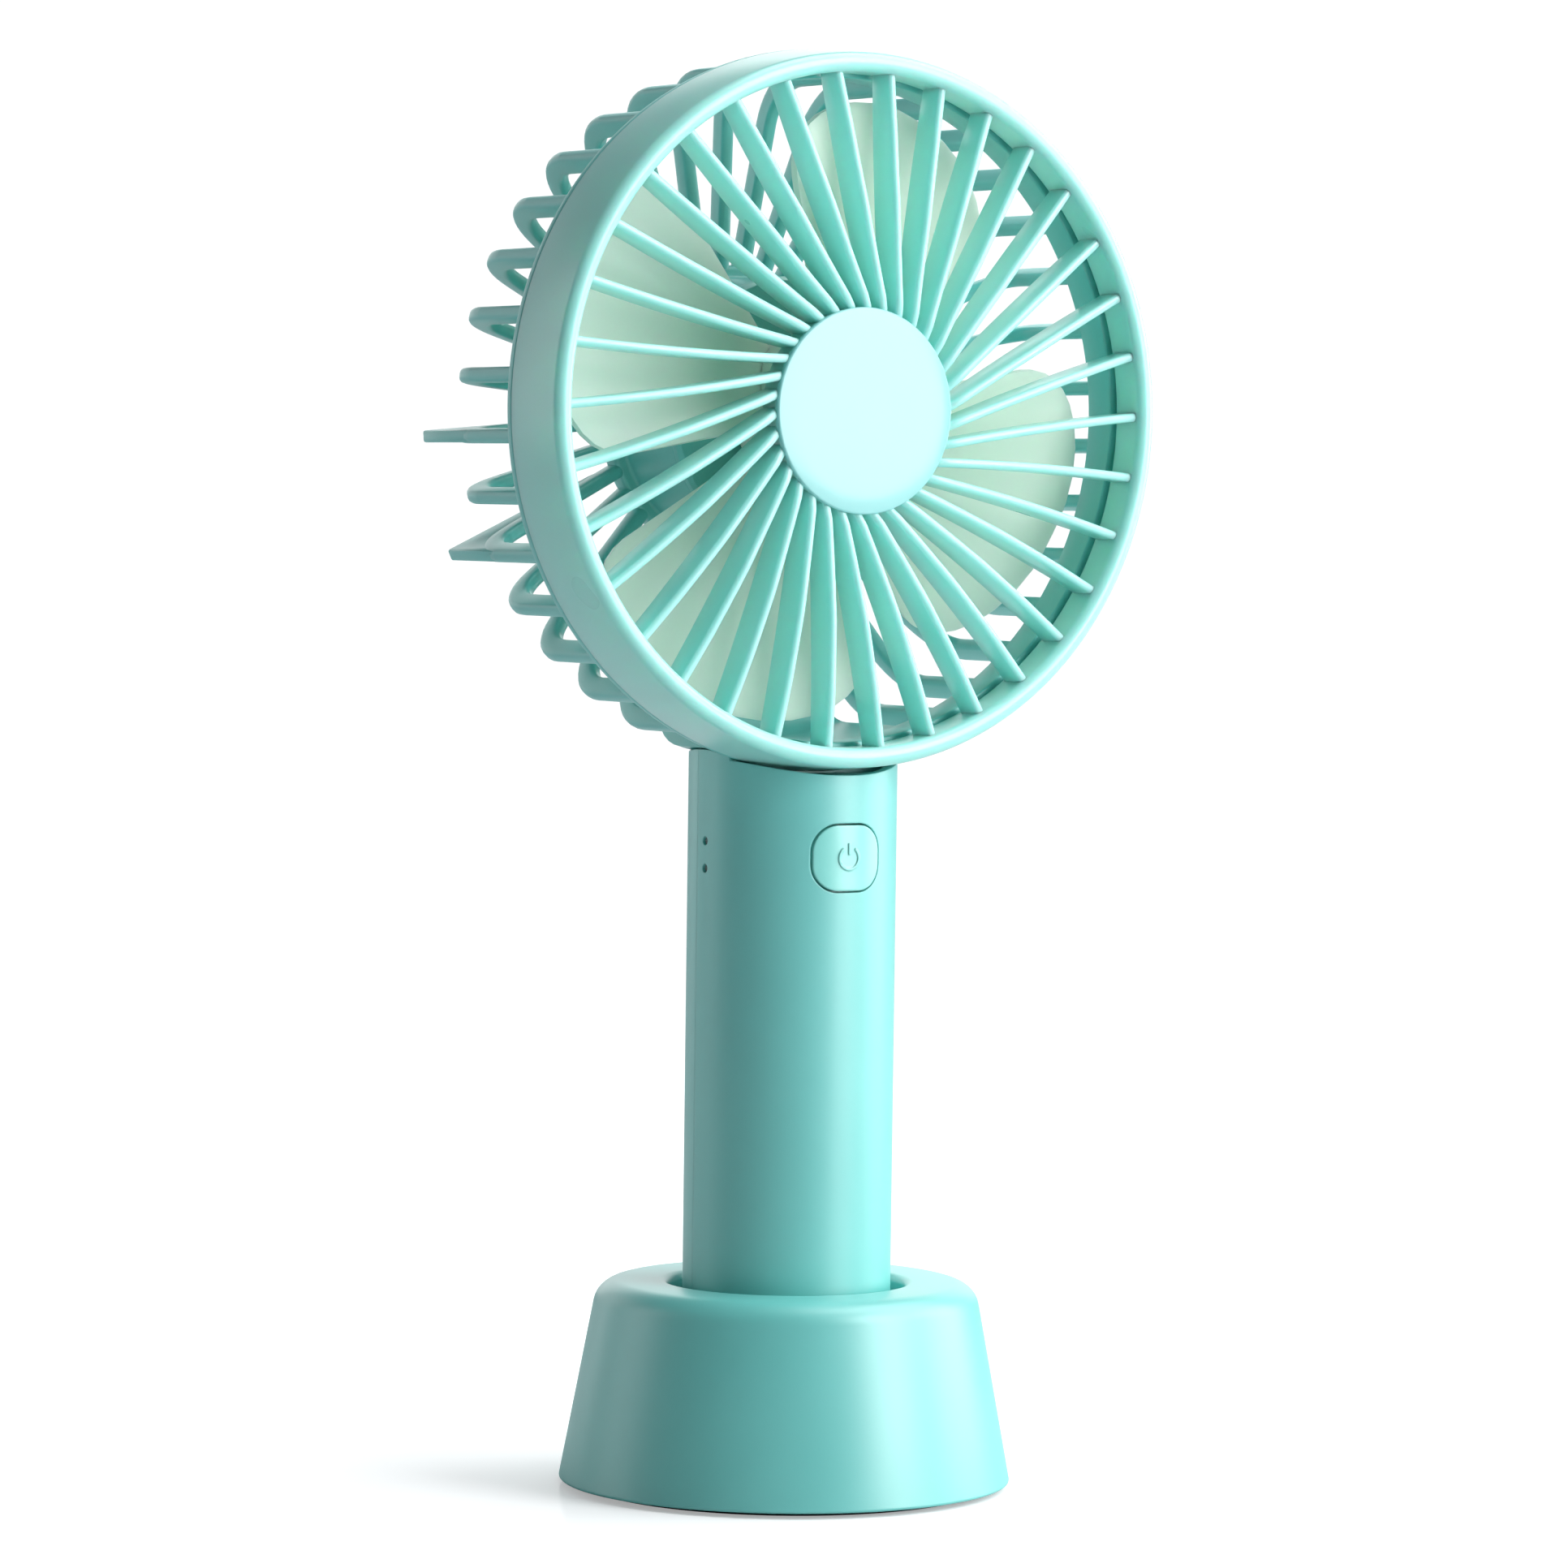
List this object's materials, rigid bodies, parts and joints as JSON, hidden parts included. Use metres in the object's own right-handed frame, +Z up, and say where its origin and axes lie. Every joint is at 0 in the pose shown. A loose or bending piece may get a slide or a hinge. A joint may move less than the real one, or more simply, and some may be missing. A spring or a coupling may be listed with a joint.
{
  "type": "handheld electric fan",
  "caption": "Handheld electric fan with a round caged head, translucent impeller and tubular handle, standing in a tapered round desk stand.",
  "frame": {"origin": "on the table under the handle's axis, at the middle of the stand's foot", "axes": "+Z up along the handle, the fan blows towards -Y, +X is to the right when facing the fan"},
  "size_m": [0.106, 0.0672, 0.2127],
  "materials": {
    "mint_shell": "satin-gloss moulded ABS",
    "mint_grille": "satin-gloss moulded ABS",
    "mint_button": "satin moulded ABS",
    "badge": "polished moulded disc",
    "milky_blade": "translucent milky moulding",
    "foot_rubber": "matt foam rubber",
    "zinc_screw": "zinc-plated steel",
    "weight_iron": "blackened iron",
    "motor_steel": "drawn plated steel",
    "shaft_steel": "ground steel",
    "core_steel": "stacked laminations",
    "magnet_ferrite": "sintered ferrite",
    "coil_copper": "enamelled copper wire",
    "bare_copper": "bare copper",
    "bush_bronze": "oil-filled sintered bronze",
    "black_plastic": "moulded nylon",
    "lead_insulation": "soft PVC insulation",
    "board_green": "solder mask on glass epoxy",
    "led_white": "moulded diode with a clear window",
    "clear_guide": "clear polished acrylic",
    "socket_steel": "nickel-plated folded steel",
    "cell_wrap": "shrunk film sleeve",
    "nickel_strip": "rolled nickel"
  },
  "bodies": {
    "stand": {"stand_shell": "mint_shell", "stand_weight": "weight_iron", "stand_bottom_plate": "mint_shell", "stand_screws": "zinc_screw", "stand_foot_ring": "foot_rubber"},
    "fan": {"handle_front_shell": "mint_shell", "handle_rear_shell": "mint_shell", "handle_end_cap": "mint_shell", "handle_screws": "zinc_screw", "rear_cage": "mint_shell", "motor_cover": "mint_shell", "motor_cover_screws": "zinc_screw", "motor_can": "motor_steel", "motor_end_cap": "black_plastic", "motor_magnets": "magnet_ferrite", "motor_bushes": "bush_bronze", "motor_brushes": "bare_copper", "motor_leads": "lead_insulation", "switch_body": "black_plastic", "circuit_board": "board_green", "board_chips": "black_plastic", "status_leds": "led_white", "light_guides": "clear_guide", "usb_socket": "socket_steel", "usb_tongue": "black_plastic", "battery_cell": "cell_wrap", "battery_tabs": "nickel_strip", "battery_leads": "lead_insulation"},
    "grille": {"front_grille": "mint_grille", "grille_badge": "badge"},
    "rotor": {"impeller": "milky_blade", "motor_shaft": "shaft_steel", "motor_armature": "core_steel", "motor_windings": "coil_copper", "motor_commutator": "bare_copper"},
    "button": {"button_cap": "mint_button", "switch_plunger": "black_plastic"}
  },
  "joints": [
    {"name": "fan_lift", "type": "slide", "parent": "stand", "child": "fan", "axis": [0, 0, 1], "range_m": [0, 0.03]},
    {"name": "grille_pull", "type": "slide", "parent": "fan", "child": "grille", "axis": [0, -1, 0], "range_m": [0, 0.02]},
    {"name": "rotor_spin", "type": "hinge", "parent": "fan", "child": "rotor", "pos_m": [0, 0, 0.1597], "axis": [0, -1, 0], "continuous": true},
    {"name": "button_press", "type": "slide", "parent": "fan", "child": "button", "axis": [0, 1, 0], "range_m": [0, 0.0005], "stiffness_N_per_m": 3000}
  ]
}
